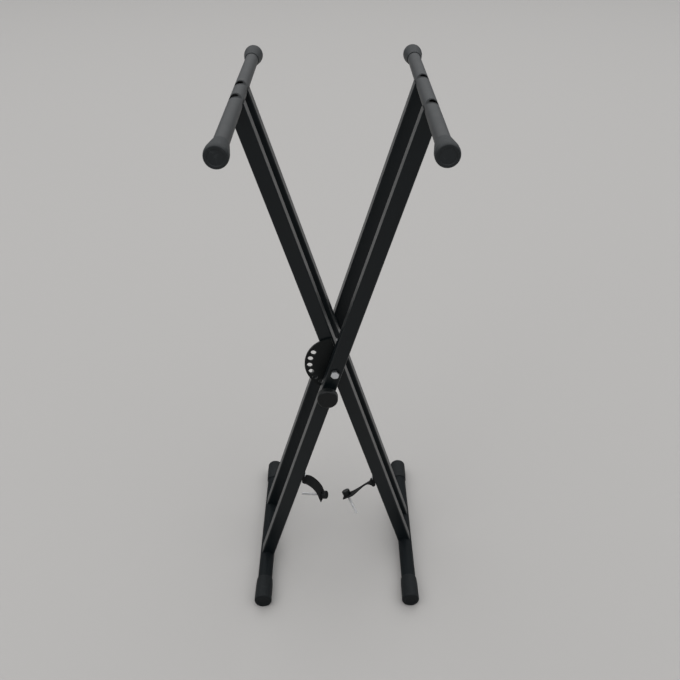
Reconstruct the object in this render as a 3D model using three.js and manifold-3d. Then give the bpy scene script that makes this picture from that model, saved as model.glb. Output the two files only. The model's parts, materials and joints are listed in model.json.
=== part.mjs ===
// Folding keyboard stand: a double-braced X of square tubes on a lock plate with a sprung plunger.
// The outer frame leans right and carries the right top bar and the left base tube. The inner
// frame leans left between its tubes. Both turn on one long pivot bolt. Millimetres, +Z up,
// origin on the floor below the pivot, -Y towards the side with the lock knob.
import * as THREE from 'three';
import { mergeVertices } from 'three/addons/utils/BufferGeometryUtils.js';
import Module from 'manifold-3d';

const wasm = await Module();
wasm.setup();

// ---- Driving dimensions (mm, degrees) --------------------------------------------------------

const SEAT = 0.3; // gap between pieces that touch on the real stand
const LEAN_DEGREES = 17.2; // each frame from upright, at the tallest setting
const SETTING_PITCH = 17.65; // degrees between neighbouring lock holes
const SETTINGS = 7;

const LEG_UPPER = 475; // pivot to top bar axis, along the leg
const LEG_LOWER = 485; // pivot to base tube axis
const LEG_SIDE = 25; // square tube
const LEG_WALL = 1.2;
const LEG_CORNER = 2.5; // outer corner radius
const LEG_LAP = 2; // the saddled ends stop this short of the bar axis
const OUTER_SPACING = 136; // between the outer frame's tube centres
const INNER_SPACING = 70; // between the inner frame's tube centres

const TOP_BAR_RADIUS = 11;
const TOP_BAR_LENGTH = 516;
const BASE_TUBE_RADIUS = 14;
const BASE_TUBE_LENGTH = 376;
const BAR_WALL = 1.2;

const TOP_CAP_LENGTH = 44;
const TOP_CAP_RADIUS = 16.4; // flared end
const TOP_CAP_MOUTH_WALL = 1;
const TOP_CAP_CONE = 32; // length of the straight flare
const TOP_CAP_DOME = 8; // length of the rounded end
const TOP_CAP_SHOULDER = 2.4; // how far the rounded end draws in
const FOOT_LENGTH = 52;
const FOOT_RADIUS = 16.5;
const FOOT_MOUTH_WALL = 1.2;
const FOOT_CONE = 17; // length of the tapered mouth
const FOOT_EDGE = 3; // rounded outer edge
const CAP_END_WALL = 3.7;
const TREAD_DEPTH = 0.7; // how far the level tread cuts into the round foot
const DISH_DEPTH = 0.8; // shallow dish in each cap's end face
const DISH_RIM = 3.5; // flat rim around the dish

const PLUG_LENGTH = 32; // threaded block in each leg end
const PLUG_SETBACK = 0.6; // of the bar's radius, from the bar axis
const SCREW_RADIUS = 3;
const SCREW_LENGTH = 30;
const SCREW_HEAD_RADIUS = 5;
const SCREW_HEAD_HEIGHT = 5;
const SCREW_SOCKET_RADIUS = 2.9; // across the corners of its hexagon
const SCREW_SOCKET_DEPTH = 3;
const SCREW_CLEARANCE = 0.4; // radial
const ACCESS_HOLE_RADIUS = 7.5; // in the far wall of each bar, for the head and the key

const PIVOT_RADIUS = 4;
const PIVOT_CLEARANCE = 0.35; // radial, running
const HEX_RADIUS = 7.5; // pivot head and nut, across corners
const PIVOT_HEAD_HEIGHT = 4;
const PIVOT_NUT_HEIGHT = 8;
const PIVOT_TAIL = 2; // thread past the nut
const WASHER_RADIUS = 8.8;
const WASHER_THICKNESS = 1.6;
const SPACER_RADIUS = 11; // plastic rings between inner and outer tubes
const SLEEVE_RADIUS = 8; // steel sleeve between the inner tubes

const PLATE_RADIUS = 53.5; // lock plate rim
const PLATE_THICKNESS = 4;
const PLATE_RIGHT = 10; // its straight right edge, from the leg's centre line
const PLATE_HEEL = 11; // how far the right edge runs below the pivot
const PLATE_END_MARGIN = 9.4; // degrees of rim past the first hole
const LOCK_RADIUS = 44.6; // pivot to the plunger and to each hole
const LOCK_HOLE_RADIUS = 4.9;

const PIN_RADIUS = 4.5;
const PIN_STEM_RADIUS = 3;
const PIN_COLLAR_RADIUS = 6.2;
const PIN_COLLAR = 3; // the spring pushes on it
const PIN_CHAMFER = 0.8;
const PIN_DRAWN_GAP = 0.6; // from the tip to the plate, drawn back as modelled
const PIN_IN_KNOB = 6;
const PIN_CLEARANCE = 0.35;
const BARREL_RADIUS = 8; // housing through the tube
const BARREL_BORE = 6.6;
const BARREL_PROUD = 7; // in front of the tube
const BARREL_END_WALL = 3.5;
const SPRING_TURNS = 6;
const SPRING_RADIUS = 4.8; // to the centre of the wire
const SPRING_WIRE_RADIUS = 0.55;
const KNOB_RADIUS = 18.2;
const KNOB_LENGTH = 13.5;
const KNOB_EDGE = 3.5;
const KNOB_RECESS_RADIUS = 11; // hollow back around the barrel
const KNOB_RECESS_DEPTH = 3.8;
const LOCK_TRAVEL = 3.8; // from drawn back to seated in a hole

const STRAP_WIDTH = 24; // webbing
const STRAP_THICKNESS = 2;
const STRAP_TAB = 10; // webbing above its screw
const STRAP_FLAT = 6; // webbing below its screw, still on the tube
const STRAP_END = 18; // straight end, with the eyelet in its middle
const STRAP_TWIST = 0.3; // share of the bow over which the first roll comes in
const STRAP_SCREW_RADIUS = 1.75;
const STRAP_SCREW_LENGTH = 9;
const STRAP_SCREW_HEAD_RADIUS = 4;
const STRAP_SCREW_HEAD = 2.4;
const PEG_RADIUS = 2.4;
const PEG_LENGTH = 42; // past the webbing
const PEG_CHAMFER = 0.6;
const PEG_IN_KNOB = 7;
const PEG_KNOB_RADIUS = 8;
const PEG_KNOB_HEIGHT = 10;
const PEG_KNOB_EDGE = 1.5;

// Each strap: how far its screw is below the pivot, and the bow of its free part. Points are
// [out from the tube's centre line, up from the screw]. Rolls are in degrees about the strap,
// early in the bow and at the tip.
const STRAPS = {
  left: {
    below: 255,
    knee: [19, -11],
    kneeHandle: [32.6, -7.5],
    tipHandle: [51.3, -24.7],
    tip: [56.8, -33.1],
    earlyRoll: 12,
    tipRoll: 20,
  },
  right: {
    below: 298,
    knee: [19, -11],
    kneeHandle: [25, 0],
    tipHandle: [54.6, -25.8],
    tip: [68.4, -28],
    earlyRoll: -32,
    tipRoll: -19,
  },
};

const BAR_SIDES = 24;
const SMALL_SIDES = 16;
const SCREW_SIDES = 12;

// ---- Derived sizes ---------------------------------------------------------------------------

const LEAN = THREE.MathUtils.degToRad(LEAN_DEGREES);
const PIVOT_HEIGHT = LEG_LOWER * Math.cos(LEAN) + FOOT_RADIUS - TREAD_DEPTH;
const OUTER_Y = OUTER_SPACING / 2;
const INNER_Y = INNER_SPACING / 2;
const OUTER_FACE = OUTER_Y + LEG_SIDE / 2; // outside face of an outer tube
const OUTER_BACK = OUTER_Y - LEG_SIDE / 2;
const INNER_FACE = INNER_Y + LEG_SIDE / 2;
const INNER_BACK = INNER_Y - LEG_SIDE / 2;
const PIVOT_BORE = PIVOT_RADIUS + PIVOT_CLEARANCE;
const SCREW_HOLE = SCREW_RADIUS + SCREW_CLEARANCE;
const STRAP_SCREW_HOLE = STRAP_SCREW_RADIUS + SCREW_CLEARANCE;
const PLATE_BACK = INNER_FACE + SEAT;
const PLATE_FRONT = PLATE_BACK + PLATE_THICKNESS;

// ---- Solids ----------------------------------------------------------------------------------

// A closed three.js geometry becomes a solid that faces out, whichever way it was drawn.
function solid(geometry) {
  const bare = geometry.clone();
  bare.deleteAttribute('normal');
  bare.deleteAttribute('uv');
  const merged = mergeVertices(bare, 1e-4);
  const position = merged.getAttribute('position');
  const [a, b, c] = [new THREE.Vector3(), new THREE.Vector3(), new THREE.Vector3()];
  const triangles = [];
  let volume = 0;
  for (let i = 0; i < merged.index.count; i += 3) {
    const [ia, ib, ic] = [0, 1, 2].map((k) => merged.index.getX(i + k));
    if (ia === ib || ib === ic || ic === ia) continue;
    triangles.push([ia, ib, ic]);
    a.fromBufferAttribute(position, ia);
    b.fromBufferAttribute(position, ib);
    c.fromBufferAttribute(position, ic);
    volume += a.dot(b.cross(c));
  }
  const order = volume > 0 ? [0, 1, 2] : [0, 2, 1];
  return new wasm.Manifold(new wasm.Mesh({
    numProp: 3,
    vertProperties: new Float32Array(position.array),
    triVerts: new Uint32Array(triangles.flatMap((triangle) => order.map((k) => triangle[k]))),
  }));
}

function toGeometry(manifold) {
  const { vertProperties, triVerts } = manifold.getMesh();
  const geometry = new THREE.BufferGeometry();
  geometry.setAttribute('position', new THREE.BufferAttribute(new Float32Array(vertProperties), 3));
  geometry.setIndex(new THREE.BufferAttribute(new Uint32Array(triVerts), 1));
  return geometry;
}

// The body with the tools cut out of it.
function cut(body, ...tools) {
  return toGeometry(tools.reduce((rest, tool) => rest.subtract(solid(tool)), solid(body)));
}

// ---- Shapes ----------------------------------------------------------------------------------

// Cylinders between two points of an axis parallel to Y, X or Z.
function rodY(radius, y0, y1, x = 0, z = 0, sides = SMALL_SIDES, turn = 0) {
  return new THREE.CylinderGeometry(radius, radius, y1 - y0, sides, 1, false, turn)
    .translate(x, (y0 + y1) / 2, z);
}

function rodX(radius, x0, x1, y, z) {
  return new THREE.CylinderGeometry(radius, radius, Math.abs(x1 - x0), SCREW_SIDES)
    .rotateZ(Math.PI / 2)
    .translate((x0 + x1) / 2, y, z);
}

function rodZ(radius, z0, z1, y, sides = SMALL_SIDES) {
  return new THREE.CylinderGeometry(radius, radius, Math.abs(z1 - z0), sides)
    .rotateX(Math.PI / 2)
    .translate(0, y, (z0 + z1) / 2);
}

// A profile of [radius, height] revolved about Y. A profile off the axis closes on itself.
function turned(profile, sides = SMALL_SIDES, turn = 0) {
  const whole = profile[0][0] === 0 ? profile : [...profile, profile[0]];
  return new THREE.LatheGeometry(whole.map(([r, h]) => new THREE.Vector2(r, h)), sides, turn);
}

function ring(inner, outer, y0, y1, sides = SMALL_SIDES, turn = 0) {
  return turned([[inner, y0], [outer, y0], [outer, y1], [inner, y1]], sides, turn);
}

// The quarter-round from a side of the given radius to an end face at the given height.
function roundedEnd(radius, height, inset, drop, steps) {
  return Array.from({ length: steps + 1 }, (_, i) => {
    const angle = (i / steps) * (Math.PI / 2);
    return [radius - inset * (1 - Math.cos(angle)), height - drop * (1 - Math.sin(angle))];
  });
}

function roundedSquare(side, corner) {
  const flat = side / 2 - corner;
  const shape = new THREE.Shape();
  const quarter = Math.PI / 2;
  [[flat, flat], [-flat, flat], [-flat, -flat], [flat, -flat]].forEach(([x, y], i) => {
    shape.absarc(x, y, corner, i * quarter, (i + 1) * quarter);
  });
  shape.closePath();
  return shape;
}

// Turns a bar's facets so that one lies level on top with the stand at its tallest.
function levelTurn(side) {
  return -side * LEAN - Math.PI / BAR_SIDES;
}

// ---- Materials -------------------------------------------------------------------------------

function finish(color, roughness, metalness) {
  return () => new THREE.MeshStandardMaterial({ color, roughness, metalness, flatShading: true });
}

const powderCoat = finish(0x1c1e20, 0.45, 0.1);
const rubber = finish(0x17181a, 0.85, 0);
const blackPlastic = finish(0x141517, 0.4, 0);
const nylon = finish(0x26282a, 0.6, 0);
const zinc = finish(0xc9cccf, 0.3, 1);
const plainSteel = finish(0x8e9196, 0.4, 1);
const webbing = finish(0x131414, 0.95, 0);

// ---- Frames ----------------------------------------------------------------------------------

// side is +1 where the top leans to +X and the foot to -X, and -1 for the other frame. The
// inside of a leg's lower half faces local X times side.
const stand = new THREE.Group();
const outer = { name: 'outer', side: 1, tubeY: OUTER_Y, top: 'right', base: 'left' };
const inner = { name: 'inner', side: -1, tubeY: INNER_Y, top: 'left', base: 'right' };
for (const frame of [outer, inner]) {
  frame.group = new THREE.Group();
  frame.group.position.z = PIVOT_HEIGHT;
  frame.group.rotation.y = frame.side * LEAN;
  frame.group.updateMatrix();
  stand.add(frame.group);
}

function add(frame, name, geometry, material) {
  const mesh = new THREE.Mesh(geometry, material());
  mesh.name = name;
  frame.group.add(mesh);
  return mesh;
}

// ---- Legs, plugs and frame screws ------------------------------------------------------------

const BAR_ENDS = [
  { name: 'top', sign: 1, radius: TOP_BAR_RADIUS, axis: LEG_UPPER },
  { name: 'base', sign: -1, radius: BASE_TUBE_RADIUS, axis: -LEG_LOWER },
];

// The two bars with their seat gap, for cutting saddles at depth y.
function saddles(frame, y) {
  return BAR_ENDS.map(({ radius, axis }) => (
    rodY(radius + SEAT, y - LEG_SIDE, y + LEG_SIDE, 0, axis, BAR_SIDES, levelTurn(frame.side))));
}

function squareBlock(shape, y, z0, length) {
  return new THREE.ExtrudeGeometry(shape, { depth: length, bevelEnabled: false, curveSegments: 1 })
    .translate(0, y, z0);
}

// The hole for a strap's screw, from the middle of the front leg out through its inner side.
function strapScrewHole(frame) {
  return rodX(STRAP_SCREW_HOLE, 0, frame.side * LEG_SIDE, -frame.tubeY, -STRAPS[frame.base].below);
}

function legTube(frame, y) {
  const shape = roundedSquare(LEG_SIDE, LEG_CORNER);
  shape.holes.push(roundedSquare(LEG_SIDE - 2 * LEG_WALL, LEG_CORNER - LEG_WALL));
  const tube = squareBlock(shape, y, LEG_LAP - LEG_LOWER, LEG_LOWER + LEG_UPPER - 2 * LEG_LAP);
  const tools = [...saddles(frame, y), rodY(PIVOT_BORE, y - LEG_SIDE, y + LEG_SIDE)];
  if (y < 0) tools.push(strapScrewHole(frame));
  if (y < 0 && frame === outer) {
    tools.push(rodY(BARREL_RADIUS + SEAT, y - LEG_SIDE, y + LEG_SIDE, 0, -LOCK_RADIUS));
  }
  return cut(tube, ...tools);
}

// A hole for a frame screw.
function screwHole(z0, z1, y) {
  return rodZ(SCREW_HOLE, z0, z1, y, SCREW_SIDES);
}

function legPlug(frame, y, { sign, radius, axis }) {
  const shape = roundedSquare(LEG_SIDE - 2 * LEG_WALL - 2 * SEAT, LEG_CORNER - LEG_WALL);
  const near = axis - sign * radius * PLUG_SETBACK;
  const far = near - sign * PLUG_LENGTH;
  const block = squareBlock(shape, y, Math.min(near, far), PLUG_LENGTH);
  return cut(block, ...saddles(frame, y), screwHole(far - sign * SEAT, near + sign * SEAT, y));
}

// A socket-head screw along Z with the underside of its head at 0.
function frameScrew() {
  const chamfer = SCREW_RADIUS * 0.2;
  const body = turned([
    [0, -SCREW_LENGTH],
    [SCREW_RADIUS - chamfer, -SCREW_LENGTH],
    [SCREW_RADIUS, chamfer - SCREW_LENGTH],
    [SCREW_RADIUS, 0],
    [SCREW_HEAD_RADIUS, 0],
    [SCREW_HEAD_RADIUS, SCREW_HEAD_HEIGHT - chamfer],
    [SCREW_HEAD_RADIUS - chamfer, SCREW_HEAD_HEIGHT],
    [0, SCREW_HEAD_HEIGHT],
  ], SCREW_SIDES).rotateX(Math.PI / 2);
  const socketFloor = SCREW_HEAD_HEIGHT - SCREW_SOCKET_DEPTH;
  return cut(body, rodZ(SCREW_SOCKET_RADIUS, socketFloor, SCREW_HEAD_HEIGHT + SEAT, 0, 6));
}

// How far from a bar's axis a screw head sits, its rim on the round inside wall.
function screwSeat(radius) {
  return Math.sqrt((radius - BAR_WALL) ** 2 - SCREW_HEAD_RADIUS ** 2) - SEAT;
}

for (const frame of [outer, inner]) {
  for (const [place, y] of [['front', -frame.tubeY], ['rear', frame.tubeY]]) {
    add(frame, `${frame.name}_${place}_leg`, legTube(frame, y), powderCoat);
    for (const end of BAR_ENDS) {
      const joint = `${frame.name}_${place}_${end.name}`;
      add(frame, `${joint}_plug`, legPlug(frame, y, end), nylon);
      const screw = add(frame, `${joint}_screw`, frameScrew(), zinc);
      screw.position.set(0, y, end.axis - end.sign * screwSeat(end.radius));
      screw.rotation.y = end.sign > 0 ? 0 : Math.PI;
    }
  }
}

// ---- Bars, caps and feet ---------------------------------------------------------------------

// An open tube along Y with, at each leg, a screw hole and an access hole opposite it.
function bar(frame, { sign, radius, axis }, length) {
  const half = length / 2;
  const tube = ring(radius - BAR_WALL, radius, -half, half, BAR_SIDES, levelTurn(frame.side));
  const holes = [-frame.tubeY, frame.tubeY].flatMap((y) => [
    rodZ(ACCESS_HOLE_RADIUS, 0, sign * 2 * radius, y),
    screwHole(0, -sign * 2 * radius, y),
  ]);
  return cut(tube, ...holes).translate(0, 0, axis);
}

// The closed end of a cap: rounded edge, flat rim, shallow dish, then the inside of the end wall.
function capEnd(bore, radius, length, inset, drop) {
  const rim = radius - inset - DISH_RIM;
  return [
    ...roundedEnd(radius, length, inset, drop, 3),
    [rim + DISH_DEPTH, length],
    [rim, length - DISH_DEPTH],
    [0, length - DISH_DEPTH],
    [0, length - CAP_END_WALL],
    [bore, length - CAP_END_WALL],
    [bore, 0],
  ];
}

function topCapProfile() {
  const bore = TOP_BAR_RADIUS + SEAT;
  return [
    [bore + TOP_CAP_MOUTH_WALL, 0],
    [TOP_CAP_RADIUS, TOP_CAP_CONE],
    ...capEnd(bore, TOP_CAP_RADIUS, TOP_CAP_LENGTH, TOP_CAP_SHOULDER, TOP_CAP_DOME),
  ];
}

function footProfile() {
  const bore = BASE_TUBE_RADIUS + SEAT;
  return [
    [bore + FOOT_MOUTH_WALL, 0],
    [FOOT_RADIUS, FOOT_CONE],
    ...capEnd(bore, FOOT_RADIUS, FOOT_LENGTH, FOOT_EDGE, FOOT_EDGE),
  ];
}

// A cap on a bar's end: front caps point to -Y and rear ones to +Y.
function cap(frame, profile, place, barHalf, length, axis) {
  const reach = barHalf + SEAT + CAP_END_WALL - length;
  const sign = place === 'front' ? -1 : 1;
  const placed = profile.map(([r, h]) => [r, sign * (reach + h)]);
  return turned(placed, BAR_SIDES, levelTurn(frame.side)).translate(0, 0, axis);
}

// Everything below the floor, in a frame's own tilted coordinates.
function belowFloor(frame) {
  const depth = 2 * FOOT_RADIUS;
  return new THREE.BoxGeometry(2 * LEG_LOWER, 2 * BASE_TUBE_LENGTH, depth)
    .translate(0, 0, -depth / 2)
    .applyMatrix4(frame.group.matrix.clone().invert());
}

for (const frame of [outer, inner]) {
  const [top, base] = BAR_ENDS;
  add(frame, `${frame.top}_top_bar`, bar(frame, top, TOP_BAR_LENGTH), powderCoat);
  add(frame, `${frame.base}_base_tube`, bar(frame, base, BASE_TUBE_LENGTH), powderCoat);
  for (const place of ['front', 'rear']) {
    const topCap = cap(frame, topCapProfile(), place, TOP_BAR_LENGTH / 2, TOP_CAP_LENGTH, LEG_UPPER);
    add(frame, `${frame.top}_top_cap_${place}`, cut(topCap), rubber);
    const foot = cap(frame, footProfile(), place, BASE_TUBE_LENGTH / 2, FOOT_LENGTH, -LEG_LOWER);
    add(frame, `${frame.base}_foot_${place}`, cut(foot, belowFloor(frame)), rubber);
  }
}

// ---- Pivot -----------------------------------------------------------------------------------

const washerFace = OUTER_FACE + SEAT + WASHER_THICKNESS;
const headSeat = washerFace + SEAT;
const boltTail = headSeat + PIVOT_NUT_HEIGHT + PIVOT_TAIL;

function pivotBolt() {
  const head = rodY(HEX_RADIUS, -headSeat - PIVOT_HEAD_HEIGHT, -headSeat, 0, 0, 6);
  const shank = rodY(PIVOT_RADIUS, -headSeat - PIVOT_HEAD_HEIGHT / 2, boltTail);
  return toGeometry(solid(head).add(solid(shank)));
}

function pivotNut() {
  const body = rodY(HEX_RADIUS, headSeat, headSeat + PIVOT_NUT_HEIGHT, 0, 0, 6);
  return cut(body, rodY(PIVOT_RADIUS + SEAT, OUTER_Y, boltTail));
}

// A round spacer on the bolt between two faces, with a seat gap at each.
function onBolt(radius, y0, y1) {
  return ring(PIVOT_BORE, radius, y0 + SEAT, y1 - SEAT);
}

add(outer, 'pivot_bolt', pivotBolt(), zinc);
add(outer, 'pivot_nut', pivotNut(), zinc);
add(outer, 'pivot_washer_front', onBolt(WASHER_RADIUS, -headSeat, -OUTER_FACE), zinc);
add(outer, 'pivot_washer_rear', onBolt(WASHER_RADIUS, OUTER_FACE, headSeat), zinc);
add(inner, 'spacer_front', onBolt(SPACER_RADIUS, -OUTER_BACK, -PLATE_FRONT), nylon);
add(inner, 'spacer_rear', onBolt(SPACER_RADIUS, INNER_FACE, OUTER_BACK), nylon);
add(inner, 'pivot_sleeve', onBolt(SLEEVE_RADIUS, -INNER_BACK, INNER_BACK), plainSteel);

// ---- Lock plate ------------------------------------------------------------------------------

// In the inner frame's coordinates the plunger stands at firstHole, down the outer frame's leg.
const firstHole = -Math.PI / 2 - 2 * LEAN;
const holePitch = THREE.MathUtils.degToRad(SETTING_PITCH);

function lockPlate() {
  const start = Math.acos(PLATE_RIGHT / PLATE_RADIUS);
  const end = 2 * Math.PI + firstHole + THREE.MathUtils.degToRad(PLATE_END_MARGIN);
  const shape = new THREE.Shape();
  shape.moveTo(PLATE_RIGHT, -PLATE_HEEL);
  shape.absarc(0, 0, PLATE_RADIUS, start, end);
  shape.closePath();
  const blank = new THREE.ExtrudeGeometry(shape, {
    depth: PLATE_THICKNESS,
    bevelEnabled: false,
    curveSegments: BAR_SIDES,
  }).rotateX(Math.PI / 2).translate(0, -PLATE_BACK, 0);
  const holes = Array.from({ length: SETTINGS }, (_, i) => {
    const angle = firstHole - i * holePitch;
    return [LOCK_HOLE_RADIUS, LOCK_RADIUS * Math.cos(angle), LOCK_RADIUS * Math.sin(angle)];
  });
  holes.push([PIVOT_BORE, 0, 0]);
  return cut(blank, ...holes.map(([r, x, z]) => rodY(r, -OUTER_Y, -INNER_Y, x, z)));
}

add(inner, 'lock_plate', lockPlate(), powderCoat);

// ---- Lock plunger, modelled drawn back just clear of the plate --------------------------------

// Distances in front of the pivot's middle plane.
const barrelEnd = OUTER_FACE + BARREL_PROUD;
const chamberEnd = barrelEnd - BARREL_END_WALL;
const pinTip = PLATE_FRONT + PIN_DRAWN_GAP;
const knobFloor = barrelEnd + SEAT + LOCK_TRAVEL; // bottom of the knob's recess
const knobRim = knobFloor - KNOB_RECESS_DEPTH;
const knobFront = knobRim + KNOB_LENGTH;
const stemEnd = knobFloor + PIN_IN_KNOB;
const collarBack = OUTER_BACK + PIN_COLLAR + LOCK_TRAVEL; // towards the tip
const collarFront = collarBack + PIN_COLLAR;

function lockTurned(profile, sides) {
  return turned(profile.map(([r, front]) => [r, -front]), sides).translate(0, 0, -LOCK_RADIUS);
}

const barrelProfile = [
  [PIN_STEM_RADIUS + PIN_CLEARANCE, barrelEnd],
  [BARREL_RADIUS, barrelEnd],
  [BARREL_RADIUS, OUTER_BACK],
  [BARREL_BORE, OUTER_BACK],
  [BARREL_BORE, chamberEnd],
  [PIN_STEM_RADIUS + PIN_CLEARANCE, chamberEnd],
];
const pinProfile = [
  [0, stemEnd],
  [PIN_STEM_RADIUS, stemEnd],
  [PIN_STEM_RADIUS, collarFront],
  [PIN_COLLAR_RADIUS, collarFront],
  [PIN_COLLAR_RADIUS, collarBack],
  [PIN_RADIUS, collarBack],
  [PIN_RADIUS, pinTip + PIN_CHAMFER],
  [PIN_RADIUS - PIN_CHAMFER, pinTip],
  [0, pinTip],
];
const knobProfile = [
  [0, knobFront],
  ...roundedEnd(KNOB_RADIUS, knobFront, KNOB_EDGE, KNOB_EDGE, 4).reverse(),
  [KNOB_RADIUS, knobRim + KNOB_EDGE / 4],
  [KNOB_RADIUS - KNOB_EDGE / 4, knobRim],
  [KNOB_RECESS_RADIUS, knobRim],
  [KNOB_RECESS_RADIUS, knobFloor],
  [PIN_STEM_RADIUS + SEAT, knobFloor],
  [PIN_STEM_RADIUS + SEAT, stemEnd + SEAT],
  [0, stemEnd + SEAT],
];

class Coil extends THREE.Curve {
  constructor(start, end) {
    super();
    this.start = start;
    this.end = end;
  }

  getPoint(t, target = new THREE.Vector3()) {
    const angle = 2 * Math.PI * SPRING_TURNS * t;
    const along = THREE.MathUtils.lerp(this.start, this.end, t);
    return target.set(SPRING_RADIUS * Math.cos(angle), along, SPRING_RADIUS * Math.sin(angle));
  }
}

function lockSpring() {
  const inset = SEAT + SPRING_WIRE_RADIUS;
  const wire = new THREE.Shape();
  wire.absarc(0, 0, SPRING_WIRE_RADIUS, 0, 2 * Math.PI);
  return new THREE.ExtrudeGeometry(wire, {
    steps: SPRING_TURNS * 9,
    curveSegments: 3,
    bevelEnabled: false,
    extrudePath: new Coil(inset - chamberEnd, -collarFront - inset),
  }).translate(0, 0, -LOCK_RADIUS);
}

add(outer, 'lock_barrel', lockTurned(barrelProfile), zinc);
add(outer, 'lock_spring', lockSpring(), plainSteel);
add(outer, 'lock_pin', lockTurned(pinProfile), plainSteel);
add(outer, 'lock_knob', lockTurned(knobProfile, BAR_SIDES), blackPlastic);

// ---- Straps ----------------------------------------------------------------------------------

// The webbing's middle line: on the tube, round the bend, along the bow, then its straight end.
function strapCurves(frame, strap) {
  const face = LEG_SIDE / 2 + SEAT + STRAP_THICKNESS / 2;
  const at = ([out, up]) => new THREE.Vector3(frame.side * out, -frame.tubeY, up - strap.below);
  const slope = at(strap.tip).sub(at(strap.tipHandle)).normalize();
  const bendTop = at([face, -STRAP_FLAT]);
  const bow = [strap.knee, strap.kneeHandle, strap.tipHandle, strap.tip].map(at);
  return [
    new THREE.LineCurve3(at([face, STRAP_TAB]), bendTop),
    new THREE.QuadraticBezierCurve3(bendTop, at([face, strap.knee[1]]), at(strap.knee)),
    new THREE.CubicBezierCurve3(...bow),
    new THREE.LineCurve3(at(strap.tip), at(strap.tip).addScaledVector(slope, STRAP_END)),
  ];
}

// Where the webbing is, which way it runs, its width direction and its upper side.
function strapSection(frame, curve, t, rollDegrees) {
  const along = curve.getTangent(t);
  const roll = THREE.MathUtils.degToRad(rollDegrees);
  const across = new THREE.Vector3(0, 1, 0).applyAxisAngle(along, frame.side * roll);
  const upper = new THREE.Vector3().crossVectors(across, along).multiplyScalar(-frame.side);
  return { at: curve.getPoint(t), along, across, upper };
}

function strapSections(frame, strap) {
  const [tab, bend, bow, end] = strapCurves(frame, strap);
  const ease = (from, to, t) => THREE.MathUtils.lerp(from, to, THREE.MathUtils.smoothstep(t, 0, 1));
  const bowRoll = (t) => (t < STRAP_TWIST
    ? ease(0, strap.earlyRoll, t / STRAP_TWIST)
    : ease(strap.earlyRoll, strap.tipRoll, (t - STRAP_TWIST) / (1 - STRAP_TWIST)));
  const stretch = (curve, steps, roll) => Array.from({ length: steps }, (_, i) => (
    strapSection(frame, curve, (i + 1) / steps, roll((i + 1) / steps))));
  return [
    strapSection(frame, tab, 0, 0),
    ...stretch(tab, 1, () => 0),
    ...stretch(bend, 5, () => 0),
    ...stretch(bow, 10, bowRoll),
    ...stretch(end, 1, () => strap.tipRoll),
  ];
}

// A strip of rectangular section swept through the given sections.
function ribbon(sections) {
  const [w, h] = [STRAP_WIDTH / 2, STRAP_THICKNESS / 2];
  const corners = [[w, h], [-w, h], [-w, -h], [w, -h]];
  const points = sections.flatMap(({ at, across, upper }) => corners.map(([a, u]) => (
    at.clone().addScaledVector(across, a).addScaledVector(upper, u))));
  const last = 4 * (sections.length - 1);
  const index = [0, 1, 2, 0, 2, 3, last, last + 2, last + 1, last, last + 3, last + 2];
  for (let i = 0; i < last; i += 4) {
    for (let k = 0; k < 4; k += 1) {
      const next = (k + 1) % 4;
      index.push(i + k, i + 4 + k, i + next, i + next, i + 4 + k, i + 4 + next);
    }
  }
  return new THREE.BufferGeometry().setFromPoints(points).setIndex(index);
}

// Moves a piece drawn about Y so that its +Y runs along a direction from a point.
function aimed(geometry, from, direction) {
  const turn = new THREE.Quaternion().setFromUnitVectors(new THREE.Vector3(0, 1, 0), direction);
  return geometry.applyQuaternion(turn).translate(from.x, from.y, from.z);
}

// A cross-slot screw along Y: the underside of its head at 0, its shank below.
function panScrew() {
  const crown = STRAP_SCREW_HEAD / 2;
  const body = turned([
    [0, -STRAP_SCREW_LENGTH],
    [STRAP_SCREW_RADIUS, -STRAP_SCREW_LENGTH],
    [STRAP_SCREW_RADIUS, 0],
    [STRAP_SCREW_HEAD_RADIUS, 0],
    ...roundedEnd(STRAP_SCREW_HEAD_RADIUS, STRAP_SCREW_HEAD, crown, crown, 2),
    [0, STRAP_SCREW_HEAD],
  ], SCREW_SIDES);
  const [long, narrow] = [STRAP_SCREW_HEAD_RADIUS, STRAP_SCREW_HEAD_RADIUS / 5];
  const slots = [[long, narrow], [narrow, long]].map(([x, z]) => (
    new THREE.BoxGeometry(x, STRAP_SCREW_HEAD, z).translate(0, STRAP_SCREW_HEAD, 0)));
  return cut(body, ...slots);
}

// The peg and its knob stand on the webbing's eyelet, heights from the webbing's lower side.
const pegKnobRim = STRAP_THICKNESS + SEAT;
const pegKnobTop = pegKnobRim + PEG_KNOB_HEIGHT;
const pegEnd = pegKnobRim + PEG_IN_KNOB;
const pegProfile = [
  [0, -PEG_LENGTH],
  [PEG_RADIUS - PEG_CHAMFER, -PEG_LENGTH],
  [PEG_RADIUS, PEG_CHAMFER - PEG_LENGTH],
  [PEG_RADIUS, pegEnd],
  [0, pegEnd],
];
const pegKnobProfile = [
  [PEG_RADIUS + SEAT, pegKnobRim],
  [PEG_KNOB_RADIUS, pegKnobRim],
  ...roundedEnd(PEG_KNOB_RADIUS, pegKnobTop, PEG_KNOB_EDGE, PEG_KNOB_EDGE, 3),
  [0, pegKnobTop],
  [0, pegEnd + SEAT],
  [PEG_RADIUS + SEAT, pegEnd + SEAT],
];

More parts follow.
